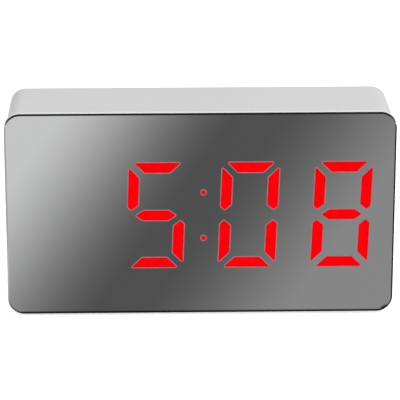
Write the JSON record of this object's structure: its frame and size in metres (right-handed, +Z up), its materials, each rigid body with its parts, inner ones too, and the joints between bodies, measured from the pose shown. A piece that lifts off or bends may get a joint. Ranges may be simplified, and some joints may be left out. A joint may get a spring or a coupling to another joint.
{
  "type": "digital led desk clock",
  "caption": "Box-shaped desk clock: half-mirror front over red seven-segment digits, white moulded housing, push buttons, power inlet and hinged battery door on the back.",
  "frame": {"origin": "centre of the footprint, on the surface the feet stand on", "axes": "+X to the right seen from the front, +Y towards the back, so the mirror faces -Y, +Z up"},
  "size_m": [0.11, 0.028, 0.0605],
  "materials": {
    "half_mirror": "polished half-mirror acrylic",
    "black_tape": "foam adhesive",
    "white_shell": "satin moulded",
    "white_cover": "fine texture moulded",
    "white_door": "fine texture moulded",
    "clear_rubber": "soft",
    "white_reflector": "matt",
    "lit_red": "diffusing, lit",
    "dark_red": "diffusing, unlit",
    "black_film": "printed film",
    "led_chip": "resin",
    "green_board": "solder mask",
    "screw_steel": "zinc plated",
    "chip_black": "moulded",
    "can_metal": "tin plated",
    "contact_metal": "nickel plated",
    "cell_jacket": "plain plastic jacket over a can",
    "wire_red": "insulation",
    "wire_black": "insulation",
    "ribbon_grey": "insulation",
    "grey_button": "satin moulded"
  },
  "bodies": {
    "clock_body": {"front_mirror": "half_mirror", "mirror_tape": "black_tape", "housing": "white_shell", "back_cover": "white_cover", "feet": "clear_rubber", "segment_reflector": "white_reflector", "lit_segments": "lit_red", "colon_dots": "lit_red", "unlit_segments": "dark_red", "display_mask": "black_film", "segment_leds": "led_chip", "display_board": "green_board", "key_board": "green_board", "board_screws": "screw_steel", "key_board_screws": "screw_steel", "cover_screws": "screw_steel", "controller_chip": "chip_black", "clock_crystal": "can_metal", "smoothing_capacitor": "can_metal", "battery_cells": "cell_jacket", "battery_contacts": "contact_metal", "battery_springs": "contact_metal", "battery_lead_red": "wire_red", "battery_lead_black": "wire_black", "board_ribbon": "ribbon_grey", "tact_switches": "chip_black", "buzzer": "chip_black", "usb_shell": "can_metal", "usb_insert": "chip_black"},
    "set_key": {"set_button": "grey_button", "set_plunger": "chip_black"},
    "up_key": {"up_button": "grey_button", "up_plunger": "chip_black"},
    "down_key": {"down_button": "grey_button", "down_plunger": "chip_black"},
    "alarm_key": {"alarm_button": "grey_button", "alarm_plunger": "chip_black"},
    "battery_flap": {"battery_door": "white_door"}
  },
  "joints": [
    {"name": "set_press", "type": "slide", "parent": "clock_body", "child": "set_key", "axis": [0, -1, 0], "range_m": [0, 0.0004], "stiffness_N_per_m": 4000},
    {"name": "up_press", "type": "slide", "parent": "clock_body", "child": "up_key", "axis": [0, -1, 0], "range_m": [0, 0.0004], "stiffness_N_per_m": 4000},
    {"name": "down_press", "type": "slide", "parent": "clock_body", "child": "down_key", "axis": [0, -1, 0], "range_m": [0, 0.0004], "stiffness_N_per_m": 4000},
    {"name": "alarm_press", "type": "slide", "parent": "clock_body", "child": "alarm_key", "axis": [0, -1, 0], "range_m": [0, 0.0004], "stiffness_N_per_m": 4000},
    {"name": "battery_flap_hinge", "type": "hinge", "parent": "clock_body", "child": "battery_flap", "pos_m": [0, 0.0128, 0.0063], "axis": [-1, 0, 0], "range_deg": [0, 75]}
  ]
}
